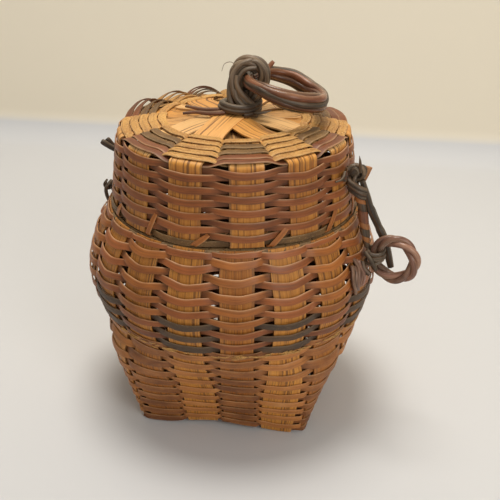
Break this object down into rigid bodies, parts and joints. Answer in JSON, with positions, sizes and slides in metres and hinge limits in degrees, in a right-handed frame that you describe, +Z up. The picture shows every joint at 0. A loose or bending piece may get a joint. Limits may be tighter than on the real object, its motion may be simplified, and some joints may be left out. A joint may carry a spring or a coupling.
{
  "type": "lidded basket",
  "caption": "Small woven basket of bamboo splits with a square foot, round belly, hinged cap lid, looped knob with a loose ring, and a hanging ring latch.",
  "frame": {"origin": "middle of the square base, on the surface the basket stands on", "axes": "+Z up; X and Y square to the sides of the base; the lid's hinge is at -X and its latch at +X, 18 degrees towards -Y"},
  "size_m": [0.1442, 0.1254, 0.159],
  "materials": {
    "gold_split": "smooth-skinned bamboo split, golden, fine lengthwise grain",
    "brown_split": "dyed bamboo split, reddish brown",
    "tan_split": "bamboo split, tan, slightly rough",
    "dark_split": "dyed bamboo split, dark grey brown, matt",
    "olive_split": "bamboo split, olive brown",
    "black_rattan": "dark rattan, satin",
    "red_rattan": "twisted rattan, red brown, glossy"
  },
  "bodies": {
    "basket": {"base_mat": "tan_split", "body_stave_01": "gold_split", "body_stave_02": "gold_split", "body_stave_03": "gold_split", "body_stave_04": "gold_split", "body_stave_05": "gold_split", "body_stave_06": "gold_split", "body_stave_07": "gold_split", "body_stave_08": "gold_split", "body_stave_09": "gold_split", "body_stave_10": "gold_split", "body_stave_11": "gold_split", "body_stave_12": "gold_split", "body_stave_13": "gold_split", "body_stave_14": "gold_split", "body_stave_15": "gold_split", "body_stave_16": "gold_split", "body_stave_17": "gold_split", "body_stave_18": "gold_split", "lower_weave": "tan_split", "dark_band": "dark_split", "upper_weave": "brown_split", "body_rim": "brown_split", "neck_collar": "olive_split", "body_lug": "black_rattan", "hinge_staple": "black_rattan"},
    "lid": {"lid_top": "gold_split", "top_weave": "olive_split", "lid_wall_weave": "brown_split", "lid_edge_row": "olive_split", "lid_stave_01": "gold_split", "lid_stave_02": "gold_split", "lid_stave_03": "gold_split", "lid_stave_04": "gold_split", "lid_stave_05": "gold_split", "lid_stave_06": "gold_split", "lid_stave_07": "gold_split", "lid_stave_08": "gold_split", "lid_stave_09": "gold_split", "lid_stave_10": "gold_split", "lid_stave_11": "gold_split", "lid_stave_12": "gold_split", "lid_stave_13": "gold_split", "lid_stave_14": "gold_split", "edge_stitch_1": "tan_split", "edge_stitch_2": "tan_split", "edge_stitch_3": "tan_split", "edge_stitch_4": "tan_split", "knob_coil": "black_rattan", "knob_eye": "black_rattan", "latch_lug": "black_rattan", "latch_knot": "black_rattan", "hinge_strap": "black_rattan", "hinge_tie": "black_rattan"},
    "top_ring": {"top_ring": "red_rattan"},
    "latch_strap": {"strap_eye": "black_rattan", "strap_leg_inner": "black_rattan", "strap_leg_outer": "black_rattan", "ring_binding": "black_rattan"},
    "latch_ring": {"latch_ring": "red_rattan"}
  },
  "joints": [
    {"name": "lid_hinge", "type": "hinge", "parent": "basket", "child": "lid", "pos_m": [-0.05685, 0, 0.0994], "axis": [0, -1, 0], "range_deg": [0, 110]},
    {"name": "top_ring_swing", "type": "hinge", "parent": "lid", "child": "top_ring", "pos_m": [0.00626, 0, 0.15002], "axis": [0, -1, 0], "range_deg": [0, 195]},
    {"name": "latch_strap_swing", "type": "hinge", "parent": "lid", "child": "latch_strap", "pos_m": [0.05284, -0.01717, 0.1181], "axis": [-0.309, -0.9511, 0], "range_deg": [0, 75]},
    {"name": "latch_ring_swing", "type": "hinge", "parent": "latch_strap", "child": "latch_ring", "pos_m": [0.06275, -0.02039, 0.083], "axis": [0, 0, -1], "range_deg": [0, 75]}
  ]
}
